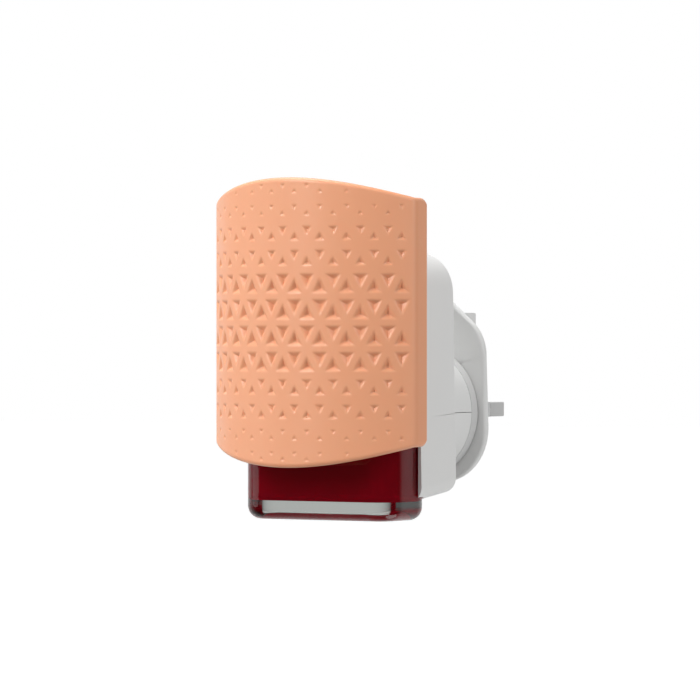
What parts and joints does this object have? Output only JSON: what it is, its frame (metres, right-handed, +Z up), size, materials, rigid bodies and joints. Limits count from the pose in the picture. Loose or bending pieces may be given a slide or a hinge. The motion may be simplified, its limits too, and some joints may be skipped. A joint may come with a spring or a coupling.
{
  "type": "plug-in scent diffuser",
  "caption": "Plug-in electric scent diffuser: three-pin plug that swivels in a white housing, curved dimpled shade, and a clear glass refill bottle of red oil that pulls down.",
  "frame": {"origin": "on the plug's flat engagement face, midway between the live and neutral pins", "axes": "+Z up, +Y out of the back along the pins into the wall, -Y the front with the shade, +X to the right seen from the front"},
  "size_m": [0.063, 0.0909, 0.0888],
  "materials": {
    "white_plastic": "semi-gloss moulded",
    "plated_brass": "nickel plated",
    "pin_plastic": "moulded",
    "sleeve_plastic": "moulded",
    "screw_steel": "zinc plated",
    "carrier_plastic": "moulded phenolic",
    "brass": "stamped",
    "shade_plastic": "satin moulded",
    "clip_plastic": "moulded",
    "heater_ceramic": "unglazed",
    "resistor_body": "coated",
    "fuse_case": "drawn",
    "live_insulation": "sleeve",
    "neutral_insulation": "sleeve",
    "clear_glass": "polished",
    "red_oil": "liquid",
    "wick_fibre": "bonded fibre"
  },
  "bodies": {
    "plug": {"plug_plate": "white_plastic", "plug_core": "white_plastic", "live_pin": "plated_brass", "neutral_pin": "plated_brass", "earth_pin": "pin_plastic", "live_sleeve": "sleeve_plastic", "neutral_sleeve": "sleeve_plastic", "plug_screws": "screw_steel", "contact_carrier": "carrier_plastic", "live_contact": "brass", "neutral_contact": "brass"},
    "housing": {"rear_shell_upper": "white_plastic", "rear_shell_lower": "white_plastic", "boss_collar": "white_plastic", "friction_washer": "screw_steel", "chassis": "white_plastic", "heater_cover": "white_plastic", "top_vent": "white_plastic", "shade": "shade_plastic", "housing_screws": "screw_steel", "neck_clip": "clip_plastic", "heater_ring": "heater_ceramic", "heater_resistor": "resistor_body", "thermal_fuse": "fuse_case", "live_brush": "brass", "neutral_brush": "brass", "live_wire": "live_insulation", "fuse_lead": "plated_brass", "neutral_wire": "neutral_insulation"},
    "refill": {"bottle": "clear_glass", "fragrance_oil": "red_oil", "wick": "wick_fibre", "wick_plug": "clip_plastic"}
  },
  "joints": [
    {"name": "plug_swivel", "type": "hinge", "parent": "plug", "child": "housing", "pos_m": [0, -0.015, -0.0006], "axis": [0, 1, 0], "range_deg": [-90, 90]},
    {"name": "refill_pull", "type": "slide", "parent": "housing", "child": "refill", "axis": [0, 0, -1], "range_m": [0, 0.058]}
  ]
}
